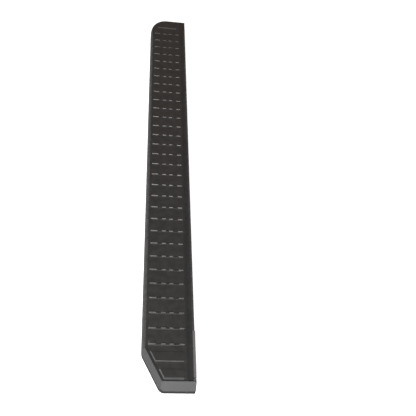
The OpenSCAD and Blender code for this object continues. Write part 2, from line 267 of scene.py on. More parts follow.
def smooth(piece, limit=35):
    """Smooth faces, with edges sharper than limit degrees kept, weighted by area."""
    bm = bmesh.new()
    bm.from_mesh(piece.data)
    for face in bm.faces:
        face.smooth = True
    for edge in bm.edges:
        edge.smooth = len(edge.link_faces) == 2 and edge.calc_face_angle(0) < radians(limit)
    bm.to_mesh(piece.data)
    bm.free()
    step = piece.modifiers.new("even shading", "WEIGHTED_NORMAL")
    step.keep_sharp = True
    step.weight = 60
    return piece


def join(name, parts):
    """One piece from several."""
    bm = bmesh.new()
    for part in parts:
        settle(part)
        bm.from_mesh(part.data)
        bpy.data.objects.remove(part)
    mesh = bpy.data.meshes.new(name)
    bm.to_mesh(mesh)
    bm.free()
    return link(name, mesh)


def cad_copy(node, name):
    """A merged copy of a CAD node's mesh, to be reworked."""
    piece = link(name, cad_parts[node].data.copy())
    piece.data.materials.clear()
    weld(piece)
    return piece


def paint_faces(piece, material, chosen):
    """Gives the faces that chosen(face) picks a material of their own."""
    piece.data.materials.append(material)
    index = len(piece.data.materials) - 1
    for face in piece.data.polygons:
        if chosen(face):
            face.material_index = index


def finish_piece(piece, material, body, slot, *nodes):
    piece.data.materials.clear()
    piece.data.materials.append(material)
    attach(piece, body)
    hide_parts(*nodes)


# ---------------------------------------------------------------- node helpers

class Nodes:
    """Builds a node tree by naming each node's type, values and links."""

    def __init__(self, tree):
        self.tree = tree

    def add(self, kind, inputs=None, **settings):
        made = self.tree.nodes.new(kind)
        for key, value in settings.items():
            setattr(made, key, value)
        for key, value in (inputs or {}).items():
            socket = made.inputs[key]
            if isinstance(value, bpy.types.NodeSocket):
                self.tree.links.new(value, socket)
            else:
                socket.default_value = value
        return made

    def math(self, operation, a, b=0.0, c=0.0, clamp=False):
        made = self.add("ShaderNodeMath", {0: a, 1: b, 2: c}, operation=operation, use_clamp=clamp)
        return made.outputs[0]


def new_group(name, kind, inputs, outputs):
    """Node group with named inputs {name: (type, value)} and outputs {name: type}."""
    tree = bpy.data.node_groups.new(name, kind)
    for label, (socket_type, value) in inputs.items():
        socket = tree.interface.new_socket(label, in_out="INPUT", socket_type=socket_type)
        if value is not None:
            socket.default_value = value
    for label, socket_type in outputs.items():
        tree.interface.new_socket(label, in_out="OUTPUT", socket_type=socket_type)
    nodes = Nodes(tree)
    return nodes, nodes.add("NodeGroupInput").outputs, nodes.add("NodeGroupOutput").inputs


FLOAT, VECTOR = "NodeSocketFloat", "NodeSocketVector"
SHAPE, WHOLE, FINISH = "NodeSocketGeometry", "NodeSocketInt", "NodeSocketMaterial"


def grow(piece, tree, values):
    """Runs a Geometry Nodes tree on a piece and keeps the plain mesh it makes."""
    step = piece.modifiers.new(tree.name, "NODES")
    step.node_group = tree
    for item in tree.interface.items_tree:
        if item.in_out == "INPUT" and item.name in values:
            step[item.identifier] = values[item.name]
    settle(piece)
    return piece


# ---------------------------------------------------------------- shared finishes

def mould_grain_group():
    """Fine leather-like grain of a moulded surface."""
    nodes, given, out = new_group(
        "mould grain", "ShaderNodeTree",
        {"Place": (VECTOR, None), "Grain Size": (FLOAT, 0.8), "Sharpness": (FLOAT, 0.5)},
        {"Height": FLOAT, "Pores": FLOAT})
    per_metre = nodes.math("DIVIDE", 1.0 / MM, given["Grain Size"])
    cells = nodes.add("ShaderNodeTexVoronoi", {"Vector": given["Place"], "Scale": per_metre},
                      feature="SMOOTH_F1")
    cells.inputs["Smoothness"].default_value = 0.6
    fine = nodes.add("ShaderNodeTexNoise", {
        "Vector": given["Place"], "Scale": nodes.math("MULTIPLY", per_metre, 2.3),
        "Detail": 3.0, "Roughness": 0.6})
    pebble = nodes.math("SUBTRACT", 1.0, cells.outputs["Distance"])
    mixed = nodes.add("ShaderNodeMix", {"Factor": given["Sharpness"]}, data_type="FLOAT")
    nodes.tree.links.new(fine.outputs["Fac"], mixed.inputs[2])
    nodes.tree.links.new(pebble, mixed.inputs[3])
    nodes.tree.links.new(mixed.outputs[0], out["Height"])
    pores = nodes.math("MULTIPLY_ADD", cells.outputs["Distance"], 1.6, -0.35, True)
    nodes.tree.links.new(pores, out["Pores"])
    return nodes.tree


def edge_wear_group():
    """Mask of rubbed edges and corners, broken up by noise."""
    nodes, given, out = new_group(
        "edge wear", "ShaderNodeTree",
        {"Place": (VECTOR, None), "Amount": (FLOAT, 0.5), "Patch Size": (FLOAT, 30.0)},
        {"Mask": FLOAT})
    bent = nodes.add("ShaderNodeNewGeometry").outputs["Pointiness"]
    raised = nodes.add("ShaderNodeMapRange", {"Value": bent, "From Min": 0.505, "From Max": 0.60})
    patches = nodes.add("ShaderNodeTexNoise", {
        "Vector": given["Place"], "Scale": nodes.math("DIVIDE", 1.0 / MM, given["Patch Size"]),
        "Detail": 4.0, "Roughness": 0.65})
    broken = nodes.add("ShaderNodeMapRange", {
        "Value": patches.outputs["Fac"], "From Min": 0.38, "From Max": 0.66})
    worn = nodes.math("MULTIPLY", raised.outputs[0], broken.outputs[0])
    nodes.tree.links.new(nodes.math("MULTIPLY", worn, given["Amount"], 0.0, True), out["Mask"])
    return nodes.tree


def handling_group():
    """Broad, faint variation: dust settled in patches and long rub marks."""
    nodes, given, out = new_group(
        "handling marks", "ShaderNodeTree",
        {"Place": (VECTOR, None), "Patch Size": (FLOAT, 120.0), "Streak Size": (FLOAT, 6.0)},
        {"Patches": FLOAT, "Streaks": FLOAT})
    patches = nodes.add("ShaderNodeTexNoise", {
        "Vector": given["Place"], "Scale": nodes.math("DIVIDE", 1.0 / MM, given["Patch Size"]),
        "Detail": 5.0, "Roughness": 0.55, "Distortion": 0.4})
    long_way = nodes.add("ShaderNodeMapping", {"Vector": given["Place"], "Scale": (1.0, 0.06, 1.0)})
    streaks = nodes.add("ShaderNodeTexNoise", {
        "Vector": long_way.outputs[0], "Scale": nodes.math("DIVIDE", 1.0 / MM, given["Streak Size"]),
        "Detail": 3.0, "Roughness": 0.6})
    nodes.tree.links.new(patches.outputs["Fac"], out["Patches"])
    nodes.tree.links.new(streaks.outputs["Fac"], out["Streaks"])
    return nodes.tree


GRAIN = mould_grain_group()
WEAR = edge_wear_group()
HANDLING = handling_group()


def new_material(name):
    material = bpy.data.materials.new(name)
    material.use_nodes = True
    material.node_tree.nodes.clear()
    nodes = Nodes(material.node_tree)
    surface = nodes.add("ShaderNodeOutputMaterial")
    shader = nodes.add("ShaderNodeBsdfPrincipled")
    nodes.tree.links.new(shader.outputs[0], surface.inputs["Surface"])
    place = nodes.add("ShaderNodeTexCoord").outputs["Object"]
    return material, nodes, shader, place


def placed(nodes, group, place, **values):
    """Places a shared group and returns its outputs."""
    made = nodes.add("ShaderNodeGroup", node_tree=group)
    nodes.tree.links.new(place, made.inputs["Place"])
    for label, value in values.items():
        made.inputs[label.replace("_", " ")].default_value = value
    return made.outputs


def blend_colours(nodes, factor, a, b):
    mix = nodes.add("ShaderNodeMix", data_type="RGBA")
    for socket, value in ((mix.inputs["Factor"], factor), (mix.inputs["A"], a), (mix.inputs["B"], b)):
        if isinstance(value, bpy.types.NodeSocket):
            nodes.tree.links.new(value, socket)
        else:
            socket.default_value = value
    return mix.outputs["Result"]


def grey(value, warm=0.0):
    return (value * (1 + warm), value, value * (1 - warm), 1.0)


def moulded_plastic(name, base, worn, rough, grain_size, depth, wear=0.5, warm=0.02, zone=None,
                    sheen=0.5):
    """Moulded plastic: grained, faintly dusty, polished where it is rubbed.
    The zone, (low Z, high Z, colour, roughness, share kept at the ends), covers the part above high Z; its
    lighter colour is a painted highlight, partly rubbed wear."""
    material, nodes, shader, place = new_material(name)
    shader.inputs["Specular IOR Level"].default_value = sheen
    grain = placed(nodes, GRAIN, place, Grain_Size=grain_size, Sharpness=0.55)
    marks = placed(nodes, HANDLING, place, Patch_Size=140.0, Streak_Size=7.0)
    rubbed = placed(nodes, WEAR, place, Amount=wear, Patch_Size=24.0)["Mask"]
    dark, light = grey(base * 0.9, warm), grey(base * 1.12, warm)
    tone = blend_colours(nodes, marks["Patches"], dark, light)
    pores = nodes.math("MULTIPLY", grain["Pores"], 0.35)
    tone = blend_colours(nodes, pores, tone, grey(base * 0.6, warm))
    tone = blend_colours(nodes, rubbed, tone, grey(worn, warm))
    spread = nodes.math("MULTIPLY_ADD", marks["Streaks"], 0.16, rough - 0.08)
    polished = nodes.math("MULTIPLY_ADD", rubbed, RUBBED_PLASTIC, spread, True)
    # Painted highlight on the bar tops, partly rubbed wear: a lighter, polished colour above high Z,
    # strongest at the middle of the board, fading to the ends, broken into patches
    if zone:
        low, high, colour, zone_rough, ends = zone
        spot = nodes.add("ShaderNodeSeparateXYZ", {0: place}).outputs
        above = nodes.add("ShaderNodeMapRange", {
            "Value": spot["Z"], "From Min": low * MM, "From Max": high * MM}).outputs[0]
        from_middle = nodes.math("ABSOLUTE", nodes.math("SUBTRACT", spot["Y"], GLINT_AND_POLISH_MIDDLE * MM))
        glint_and_polish_fade = nodes.add("ShaderNodeMapRange", {
            "Value": from_middle, "From Min": GLINT_AND_POLISH_REACH[0], "From Max": GLINT_AND_POLISH_REACH[1],
            "To Min": 1.0, "To Max": ends}, interpolation_type="SMOOTHSTEP")
        above = nodes.math("MULTIPLY", above, glint_and_polish_fade.outputs[0])
        patchy = nodes.math("MULTIPLY_ADD", marks["Patches"], 0.5, 0.75)
        broken = nodes.math("MULTIPLY", above, patchy, 0.0, True)
        tone = blend_colours(nodes, broken, tone, grey(colour, warm))
        shift = nodes.math("SUBTRACT", zone_rough, polished)
        polished = nodes.math("MULTIPLY_ADD", shift, above, polished)
    nodes.tree.links.new(tone, shader.inputs["Base Color"])
    nodes.tree.links.new(polished, shader.inputs["Roughness"])
    bump = nodes.add("ShaderNodeBump", {"Height": grain["Height"], "Distance": depth * MM, "Strength": 0.6})
    nodes.tree.links.new(bump.outputs[0], shader.inputs["Normal"])
    return material


def powder_coat(name, base, rough, sheen=0.5, gloss=0.25):
    """Powder coat on an extrusion: orange peel, faint draw lines, paler where edges are rubbed."""
    material, nodes, shader, place = new_material(name)
    shader.inputs["Specular IOR Level"].default_value = sheen
    peel = nodes.add("ShaderNodeTexNoise", {
        "Vector": place, "Scale": 0.75 / MM, "Detail": 3.0, "Roughness": 0.5})
    marks = placed(nodes, HANDLING, place, Patch_Size=200.0, Streak_Size=1.6)
    rubbed = placed(nodes, WEAR, place, Amount=0.35, Patch_Size=16.0)["Mask"]
    tone = blend_colours(nodes, marks["Patches"], grey(base * 0.85, 0.02), grey(base * 1.15, 0.02))
    tone = blend_colours(nodes, rubbed, tone, grey(base * RUBBED_COAT))
    nodes.tree.links.new(tone, shader.inputs["Base Color"])
    spread = nodes.math("MULTIPLY_ADD", marks["Streaks"], 0.14, rough - 0.07)
    nodes.tree.links.new(spread, shader.inputs["Roughness"])
    shader.inputs["Coat Roughness"].default_value = 0.3
    nodes.tree.links.new(nodes.math("MULTIPLY", marks["Patches"], gloss), shader.inputs["Coat Weight"])
    height = nodes.math("MULTIPLY_ADD", marks["Streaks"], 0.25, peel.outputs["Fac"])
    bump = nodes.add("ShaderNodeBump", {"Height": height, "Distance": 0.05 * MM, "Strength": 0.5})
    nodes.tree.links.new(bump.outputs[0], shader.inputs["Normal"])
    return material


def zinc_plate(name):
    """Bright zinc: bluish metal with clouding and fine forming lines."""
    material, nodes, shader, place = new_material(name)
    marks = placed(nodes, HANDLING, place, Patch_Size=5.0, Streak_Size=0.5)
    rubbed = placed(nodes, WEAR, place, Amount=0.8, Patch_Size=4.0)["Mask"]
    tone = blend_colours(nodes, marks["Patches"], (0.42, 0.43, 0.45, 1), (0.62, 0.63, 0.64, 1))
    tone = blend_colours(nodes, rubbed, tone, (0.74, 0.74, 0.73, 1))
    nodes.tree.links.new(tone, shader.inputs["Base Color"])
    shader.inputs["Metallic"].default_value = 1.0
    spread = nodes.math("MULTIPLY_ADD", marks["Streaks"], 0.22, 0.2)
    nodes.tree.links.new(spread, shader.inputs["Roughness"])
    bump = nodes.add("ShaderNodeBump", {"Height": marks["Streaks"], "Distance": 0.02 * MM, "Strength": 0.6})
    nodes.tree.links.new(bump.outputs[0], shader.inputs["Normal"])
    return material


def clear_nylon(name):
    """Undyed nylon: milky, slightly translucent, with a soft sheen."""
    material, nodes, shader, place = new_material(name)
    marks = placed(nodes, HANDLING, place, Patch_Size=8.0, Streak_Size=1.0)
    tone = blend_colours(nodes, marks["Patches"], (0.66, 0.63, 0.55, 1), (0.78, 0.76, 0.70, 1))
    nodes.tree.links.new(tone, shader.inputs["Base Color"])
    spread = nodes.math("MULTIPLY_ADD", marks["Streaks"], 0.15, 0.34)
    nodes.tree.links.new(spread, shader.inputs["Roughness"])
    shader.inputs["Subsurface Weight"].default_value = 0.2
    shader.inputs["Subsurface Scale"].default_value = 0.8 * MM
    bump = nodes.add("ShaderNodeBump", {"Height": marks["Streaks"], "Distance": 0.03 * MM, "Strength": 0.4})
    nodes.tree.links.new(bump.outputs[0], shader.inputs["Normal"])
    return material


def foam(name, base, cell, depth, rough):
    """Cellular foam or rubber: open cells, matte."""
    material, nodes, shader, place = new_material(name)
    grain = placed(nodes, GRAIN, place, Grain_Size=cell, Sharpness=0.9)
    marks = placed(nodes, HANDLING, place, Patch_Size=30.0, Streak_Size=3.0)
    tone = blend_colours(nodes, grain["Pores"], grey(base * 1.2), grey(base * 0.5))
    dust = nodes.math("MULTIPLY", marks["Patches"], 0.4)
    tone = blend_colours(nodes, dust, tone, grey(base * 1.6, 0.03))
    nodes.tree.links.new(tone, shader.inputs["Base Color"])
    spread = nodes.math("MULTIPLY_ADD", marks["Streaks"], 0.1, rough - 0.05)
    nodes.tree.links.new(spread, shader.inputs["Roughness"])
    bump = nodes.add("ShaderNodeBump", {"Height": grain["Height"], "Distance": depth * MM, "Strength": 0.8})
    nodes.tree.links.new(bump.outputs[0], shader.inputs["Normal"])
    return material


# The tread's zone paints the bar tops lighter and polished: a painted highlight, partly rubbed wear
TREAD_PLASTIC = moulded_plastic("tread plastic", 0.019, 0.05, 0.46, 0.9, 0.12, wear=0.6, warm=0.04,
                                zone=(45.35, 45.75, 0.25, 0.32, 0.25))
# Lit copy of the tread plastic for the panel and wedge slopes that face the front light: painted light
LIT_SLOPE_PLASTIC = moulded_plastic("tread slopes painted lit", 0.085, 0.12, 0.40, 0.9, 0.08, wear=0.5)
# The lower panel's near slopes keep about the plain tread tone, outside that painted light
LOW_SLOPE_PLASTIC = moulded_plastic("lower tread slope", 0.018, 0.04, 0.46, 0.9, 0.10, wear=0.5)
CAP_PLASTIC = moulded_plastic("angled cap bevel", 0.034, 0.05, 0.52, 0.7, 0.10, wear=0.5, warm=0.0)
# Darker copy for the angled cap's lower walls and undersides: a painted shade
SHADED_WALL_PLASTIC = moulded_plastic("angled cap wall, painted shade", 0.010, 0.02, 0.6, 0.7, 0.10, wear=0.3, warm=0.03,
                               sheen=0.12)
# Lighter copy for the angled cap's nosing: painted light in place of its reflection
LIT_NOSE_PLASTIC = moulded_plastic("angled cap nosing, painted lit", 0.042, 0.05, 0.5, 0.7, 0.10, wear=0.3, sheen=0.08)
# Darker copy for the angled cap's groove and ridge land: a painted shade
SHADED_GROOVE_PLASTIC = moulded_plastic("cap groove plastic, painted shade", 0.020, 0.04, 0.46, 0.7, 0.10, wear=0.3)
# Lighter copy for the angled cap's lip: painted light
LIT_LIP_PLASTIC = moulded_plastic("cap lip plastic, painted lit", 0.11, 0.13, 0.5, 0.7, 0.10, wear=0.3)
END_PLASTIC = moulded_plastic("rounded cap plastic", 0.017, 0.04, 0.46, 0.7, 0.10, wear=0.5,
                              warm=0.25)
RAIL_COAT = powder_coat("powder coat", 0.018, 0.45, sheen=0.25)
# Lighter copy of the coat for the rail's nosing: painted light in place of its reflection
LIT_NOSE_COAT = powder_coat("powder coat of the nosing, painted lit", 0.042, 0.5, sheen=0.08, gloss=0.04)
# Lighter copy of the coat for the rail's lip: painted light
LIT_LIP_COAT = powder_coat("powder coat of the lip, painted lit", 0.03, 0.42)
ZINC = zinc_plate("bright zinc")
NYLON = clear_nylon("undyed nylon")
CLIP_NYLON = moulded_plastic("black nylon", 0.018, 0.05, 0.4, 0.5, 0.04, wear=0.3)
STOP_RUBBER = foam("stop rubber", 0.02, 0.6, 0.05, 0.8)
TAPE_FOAM = foam("tape foam", 0.07, 0.35, 0.15, 0.9)


# ---------------------------------------------------------------- rail

def rail_section():
    """Outline of the extrusion: nosing, deck plate, drip groove, walls and both bolt channels."""
    drip_z = DECK_Z - DRIP_D
    hollow_z = drip_z - SKIN_T
    steps = 24
    nosing = [(x, z, 0) for x, z in quarter(NOSING_X, NOSING_Z, NOSING_W, NOSING_H, steps)]
    inner_turn = asin((UNDER_Z - NOSING_Z) / (NOSING_H - SKIN_T))
    inner = []
    for i in range(steps + 1):
        turn = inner_turn * (1 - i / steps)
        inner.append((NOSING_X - (NOSING_W - SKIN_T) * cos(turn),
                      NOSING_Z + (NOSING_H - SKIN_T) * sin(turn), 0))
    wall, half = CHANNEL_HALF + CHANNEL_WALL, CHANNEL_HALF
    channels = []
    for middle in (CHANNEL_X, -CHANNEL_X):
        channels += [(middle + wall, UNDER_Z, 1.0), (middle + wall, CHANNEL_LIP, 0.6),
                     (middle + SLOT_HALF, CHANNEL_LIP, 0.4), (middle + SLOT_HALF, CHANNEL_FLOOR, 0.4),
                     (middle + half, CHANNEL_FLOOR, 0.3), (middle + half, UNDER_Z, 0.5),
                     (middle - half, UNDER_Z, 0.5), (middle - half, CHANNEL_FLOOR, 0.3),
                     (middle - SLOT_HALF, CHANNEL_FLOOR, 0.4), (middle - SLOT_HALF, CHANNEL_LIP, 0.4),
                     (middle - wall, CHANNEL_LIP, 0.6), (middle - wall, UNDER_Z, 1.0)]
    corners = [(X_OUT, 0, 0.8)] + nosing + [
        (NOSING_X, PLATE_Z, 0.4), (PAD_X, PLATE_Z, 0.5),
        (DRIP_X[0], drip_z, 1.5), (DRIP_X[1], drip_z, 1.5), (LIP_EDGE, LIP_Z, 1.2),
        (RAIL_IN, LIP_Z, 1.2), (RAIL_IN, CHANNEL_LIP, 0.8), (RAIL_IN - SKIN_T, CHANNEL_LIP, 0.8),
        (RAIL_IN - SKIN_T, hollow_z, 1.0), (HOLLOW_X[0], hollow_z, 1.0), (HOLLOW_X[1], UNDER_Z, 1.0)]
    corners += channels + inner
    corners += [(X_OUT + SKIN_T, SKIN_T, 1.0), (X_OUT + FOOT_W, SKIN_T, 0.8), (X_OUT + FOOT_W, 0, 0.8)]
    return rounded(corners)


def make_rail():
    """The extrusion between the caps; its nosing and lip get lighter copies of the coat, a painted light.
    """
    rail = prism_y("rail", rail_section(), JOINT_ANGLED + SEAM / 2, JOINT_ROUND - SEAM / 2)
    smooth(rail, 30)
    finish_piece(rail, RAIL_COAT, "board", "powder_coated_rail", "main_rail")

    def is_lip(face):
        return face.center.x / MM > GROOVE_EDGE - 0.6 and face.normal.z > 0.3

    def is_nosing(face):
        return face.center.x / MM < NOSING_X and face.normal.x < 0 and face.normal.z > -0.1

    # Lighter copies of the coat on the lip and the nosing: painted light
    paint_faces(rail, LIT_LIP_COAT, is_lip)
    paint_faces(rail, LIT_NOSE_COAT, is_nosing)


# ---------------------------------------------------------------- tread

def pad_outline():
    x0 = NOSING_X + SEAM
    y0 = Y_TIP + TIP_RUN + RIDGE_LAND + SEAM
    d = DIAGONAL_RUN + RIDGE_LAND + SEAM
    far = Y_ROUND - RIM_W - SEAM
    corner = quarter(X_OUT + CORNER_W, Y_ROUND - CORNER_L, CORNER_W - NOSING_W - SEAM,
                     CORNER_L - RIM_W - SEAM, 40)
    return [(x0, diagonal_y(x0, d)), (diagonal_x(y0, d), y0), (PAD_X, y0), (PAD_X, far)] + corner[::-1]


def make_pad_base():
    """Pad with the slope to the drip groove and the border groove along the angled end."""
    pad = prism_z("pad", pad_outline(), PLATE_Z, DECK_Z)
    edge = PAD_X - PAD_SLOPE_W
    over = 1.0
    slope = [(edge, DECK_Z), (PAD_X + over, DECK_Z - PAD_DROP * (PAD_SLOPE_W + over) / PAD_SLOPE_W),
             (PAD_X + over, DECK_Z + over), (edge, DECK_Z + over)]
    cut(pad, prism_y("slope", slope, Y_TIP, Y_ROUND))
    d = DIAGONAL_RUN + RIDGE_LAND + SEAM + GROOVE_W
    y0 = Y_TIP + TIP_RUN + RIDGE_LAND + SEAM + GROOVE_W
    left, right = X_OUT, PAD_X + 2
    band = [(left, diagonal_y(left, d)), (left, Y_TIP), (right, Y_TIP), (right, y0),
            (diagonal_x(y0, d), y0)]
    cut(pad, prism_z("groove", band, DECK_Z - GROOVE_D, DECK_Z + over))
    weld(pad)
    soften(pad, 0.45, 2, 8)
    return pad


def make_panel(far_edge, near_edge, foot, foot_z):
    """Raised panel beside the diagonal; its edges are distances from the tip."""
    d = DIAGONAL_RUN + PANEL_GAP

    def plan(y0, y1, spread, z):
        return [(diagonal_x(y0, d) - spread, y0, z), (PANEL_RIGHT, y0, z), (PANEL_RIGHT, y1, z),
                (diagonal_x(y1, d) - spread, y1, z)]

    bm = bmesh.new()
    stack(bm, [plan(Y_TIP + foot, Y_TIP + far_edge, PANEL_WALL, DECK_Z - GROOVE_D - 0.2),
               plan(Y_TIP + foot, Y_TIP + far_edge, PANEL_WALL, foot_z),
               plan(Y_TIP + near_edge - PANEL_EDGE, Y_TIP + far_edge - 0.7, 1.0, DECK_Z + PANEL_H - 0.7),
               plan(Y_TIP + near_edge, Y_TIP + far_edge - 1, 0, DECK_Z + PANEL_H)])
    panel = mesh_from("panel", bm)
    soften(panel, 0.25, 2, 5)
    return panel


def make_wedge(y, length, height):
    """Low wedge behind the left end of a row, falling to the deck away from it."""
    foot, side, right = WEDGE_X
    low, high = DECK_Z - 0.4, DECK_Z + height
    bm = bmesh.new()
    stack(bm, [[(foot, y, low), (right, y, low), (right, y + length, low), (foot + 1, y + length, low)],
               [(side, y, high), (right, y, high), (right, y + length - 1, DECK_Z + 0.1),
                (side + 1, y + length - 1, DECK_Z + 0.1)]])
    return mesh_from("wedge", bm)


def bar_rows_tree():
    """Rows of round-ended bars from the edges of a mesh, each row on its low ridge."""
    nodes, given, out = new_group(
        "tread bar rows", "GeometryNodeTree",
        {"Bars": (SHAPE, None), "Rows": (WHOLE, 31), "Row Pitch": (FLOAT, 0.054),
         "Bar Width": (FLOAT, 0.0055), "Bar Height": (FLOAT, 0.002), "Deck Height": (FLOAT, 0.044),
         "End Points": (WHOLE, 6),
         "Ridge Start": (FLOAT, -0.06), "Ridge Length": (FLOAT, 0.11), "Ridge Height": (FLOAT, 0.0009),
         "Finish": (FINISH, None)},
        {"Rows": SHAPE})
    math, add, tree = nodes.math, nodes.add, nodes.tree
    bar_sink, ridge_sink, ridge_base, ridge_taper = 0.6 * MM, 0.3 * MM, 0.4 * MM, 3.0 * MM
    points = math("MULTIPLY", given["End Points"], 2.0)
    line = add("GeometryNodeMeshToCurve", {"Mesh": given["Bars"]}).outputs[0]
    line = add("GeometryNodeResampleCurve", {"Curve": line, "Count": points}).outputs[0]
    place = add("GeometryNodeSplineParameter").outputs
    length = add("GeometryNodeSplineLength").outputs["Length"]
    radius = math("MULTIPLY", given["Bar Width"], 0.5)
    last = math("SUBTRACT", points, 1.0)
    from_end = math("MINIMUM", place["Index"], math("SUBTRACT", last, place["Index"]))
    turn = math("MULTIPLY", math("DIVIDE", from_end, math("SUBTRACT", given["End Points"], 1.0)), pi / 2)
    cap = math("MULTIPLY", radius, math("SUBTRACT", 1.0, math("COSINE", turn)))
    second = math("GREATER_THAN", place["Factor"], 0.5)
    along = math("ADD", math("MULTIPLY", math("SUBTRACT", 1.0, second), cap),
                 math("MULTIPLY", second, math("SUBTRACT", length, cap)))
    shift = math("SUBTRACT", along, math("MULTIPLY", length, place["Factor"]))
    start = add("GeometryNodeInputTangent").outputs[0]
    moved = add("ShaderNodeVectorMath", {0: start}, operation="SCALE")
    tree.links.new(shift, moved.inputs["Scale"])
    line = add("GeometryNodeSetPosition", {"Geometry": line, "Offset": moved.outputs[0]}).outputs[0]
    taper = math("MULTIPLY", radius, math("SINE", turn))
    section = add("GeometryNodeCurvePrimitiveCircle", {"Resolution": 20, "Radius": 1.0}).outputs[0]
    sweep = add("GeometryNodeCurveToMesh", {"Curve": line, "Profile Curve": section, "Scale": taper})
    spot = add("ShaderNodeSeparateXYZ", {0: add("GeometryNodeInputPosition").outputs[0]}).outputs
    crown = math("MULTIPLY", spot["Z"], math("DIVIDE", given["Bar Height"], radius))
    flat = math("MAXIMUM", crown, -bar_sink)
    bars = add("GeometryNodeSetPosition", {"Geometry": sweep.outputs[0], "Position": add(
        "ShaderNodeCombineXYZ", {0: spot["X"], 1: spot["Y"], 2: flat}).outputs[0]}).outputs[0]
    bars = add("GeometryNodeMergeByDistance", {"Geometry": bars, "Distance": 1e-5}).outputs[0]

    foot = [v * MM for v in RIDGE_FOOT]
    width = foot[3] - foot[0]
    size = add("ShaderNodeCombineXYZ", {0: given["Ridge Length"], 1: width, 2: MM})
    block = add("GeometryNodeMeshCube", {
        "Size": size.outputs[0], "Vertices X": 4, "Vertices Y": 13, "Vertices Z": 2})
    end = math("GREATER_THAN", math("ABSOLUTE", spot["X"]), math("MULTIPLY", given["Ridge Length"], 0.4))
    half = math("MULTIPLY", given["Ridge Length"], 0.5)
    inside = math("SUBTRACT", 1.0, end)
    reach = math("SUBTRACT", half, math("MULTIPLY", inside, ridge_taper))
    x = math("MULTIPLY", math("SIGN", spot["X"]), reach)
    x = math("ADD", math("ADD", x, half), given["Ridge Start"])
    y = math("ADD", spot["Y"], foot[0] + width / 2)
    rise = add("ShaderNodeMapRange", {"Value": y, "From Min": foot[0], "From Max": foot[1]},
               interpolation_type="SMOOTHSTEP").outputs[0]
    fall = add("ShaderNodeMapRange", {"Value": y, "From Min": foot[3], "From Max": foot[2]},
               interpolation_type="SMOOTHSTEP").outputs[0]
    top = math("GREATER_THAN", spot["Z"], 0.0)
    lift = math("MULTIPLY", math("MULTIPLY", math("MULTIPLY", rise, fall), inside), top)
    z = math("MULTIPLY", lift, math("ADD", given["Ridge Height"], ridge_sink))
    z = math("SUBTRACT", z, ridge_sink)
    z = math("SUBTRACT", z, math("MULTIPLY", math("SUBTRACT", 1.0, top), ridge_base))
    ridge = add("GeometryNodeSetPosition", {"Geometry": block.outputs[0], "Position": add(
        "ShaderNodeCombineXYZ", {0: x, 1: y, 2: z}).outputs[0]}).outputs[0]

    row = add("GeometryNodeJoinGeometry", {0: bars})
    tree.links.new(ridge, row.inputs[0])
    row = add("GeometryNodeSetShadeSmooth", {"Geometry": row.outputs[0]}).outputs[0]
    step = add("ShaderNodeCombineXYZ", {1: math("MULTIPLY", given["Row Pitch"], -1.0)}).outputs[0]
    first = add("ShaderNodeCombineXYZ", {2: given["Deck Height"]}).outputs[0]
    marks = add("GeometryNodeMeshLine", {"Count": given["Rows"], "Start Location": first, "Offset": step})
    rows = add("GeometryNodeInstanceOnPoints", {"Points": marks.outputs[0], "Instance": row}).outputs[0]
    rows = add("GeometryNodeRealizeInstances", {0: rows}).outputs[0]
    rows = add("GeometryNodeSetMaterial", {"Geometry": rows, "Material": given["Finish"]}).outputs[0]
    tree.links.new(rows, out["Rows"])
    return tree


def bar_edges(name, spans):
    """One edge along X for each bar."""
    mesh = bpy.data.meshes.new(name)
    corners = [(x * MM, 0, 0) for span in spans for x in span]
    mesh.from_pydata(corners, [(2 * i, 2 * i + 1) for i in range(len(spans))], [])
    return link(name, mesh)


def make_tread():
    """The moulded cover: pad, bar rows, end bar, panels and wedges in one piece."""
    tree = bar_rows_tree()
    rows = grow(bar_edges("bar rows", BARS), tree, {
        "Rows": ROWS, "Row Pitch": ROW_PITCH * MM, "Bar Width": BAR_W * MM, "Bar Height": BAR_H * MM,
        "Deck Height": DECK_Z * MM, "Ridge Start": RIDGE_X[0] * MM,
        "Ridge Length": (RIDGE_X[1] - RIDGE_X[0]) * MM, "Ridge Height": RIDGE_H * MM,
        "Finish": TREAD_PLASTIC})
    rows.data.transform(Matrix.Translation((0, FIRST_ROW * MM, 0)))
    end_bar = grow(bar_edges("end bar", (END_BAR,)), tree, {
        "Rows": 1, "Bar Width": BAR_W * MM, "Bar Height": BAR_H * MM, "Deck Height": DECK_Z * MM,
        "Ridge Start": (END_BAR[0] + 2) * MM, "Ridge Length": (END_BAR[1] - END_BAR[0] - 4) * MM,
        "Ridge Height": RIDGE_H * MM, "Finish": TREAD_PLASTIC})
    end_bar.data.transform(Matrix.Translation((0, END_BAR_Y * MM, 0)))
    tread = join("tread", [make_pad_base(), rows, end_bar] + [make_panel(*p) for p in PANELS]
                 + [make_wedge(*w) for w in WEDGES])
    smooth(tread, 40)
    finish_piece(tread, TREAD_PLASTIC, "board", "moulded_tread", "tread_cover")

    def is_panel_slope(face):
        z, slope = face.center.z / MM - DECK_Z, -min(face.normal.x, face.normal.y)
        on_panel = z > 0.02 or -0.8 < z < -0.4
        beside = PANELS[1][2] < face.center.y / MM - Y_TIP < PANELS[0][0]
        return on_panel and beside and 0.1 < slope < 0.95

    def is_low_slope(face):
        last_edge = Y_TIP + PANELS[1][1] + 0.5
        return is_panel_slope(face) and face.center.y / MM < last_edge and face.normal.x > -0.1

    def is_wedge_side(face):
        x, y, z = face.center / MM
        on_wedge = y < WEDGES[1][0] + 10 and WEDGE_X[0] < x < WEDGE_X[1] + 1
        return on_wedge and z > DECK_Z and face.normal.x < -0.3

    # Slopes facing the front light get the lighter colour, a painted light; the lower panel's near slopes
    # are set back to about the plain tone
    for material, chosen in ((LIT_SLOPE_PLASTIC, is_panel_slope), (LOW_SLOPE_PLASTIC, is_low_slope),
                             (LIT_SLOPE_PLASTIC, is_wedge_side)):
        paint_faces(tread, material, chosen)


# ---------------------------------------------------------------- end caps

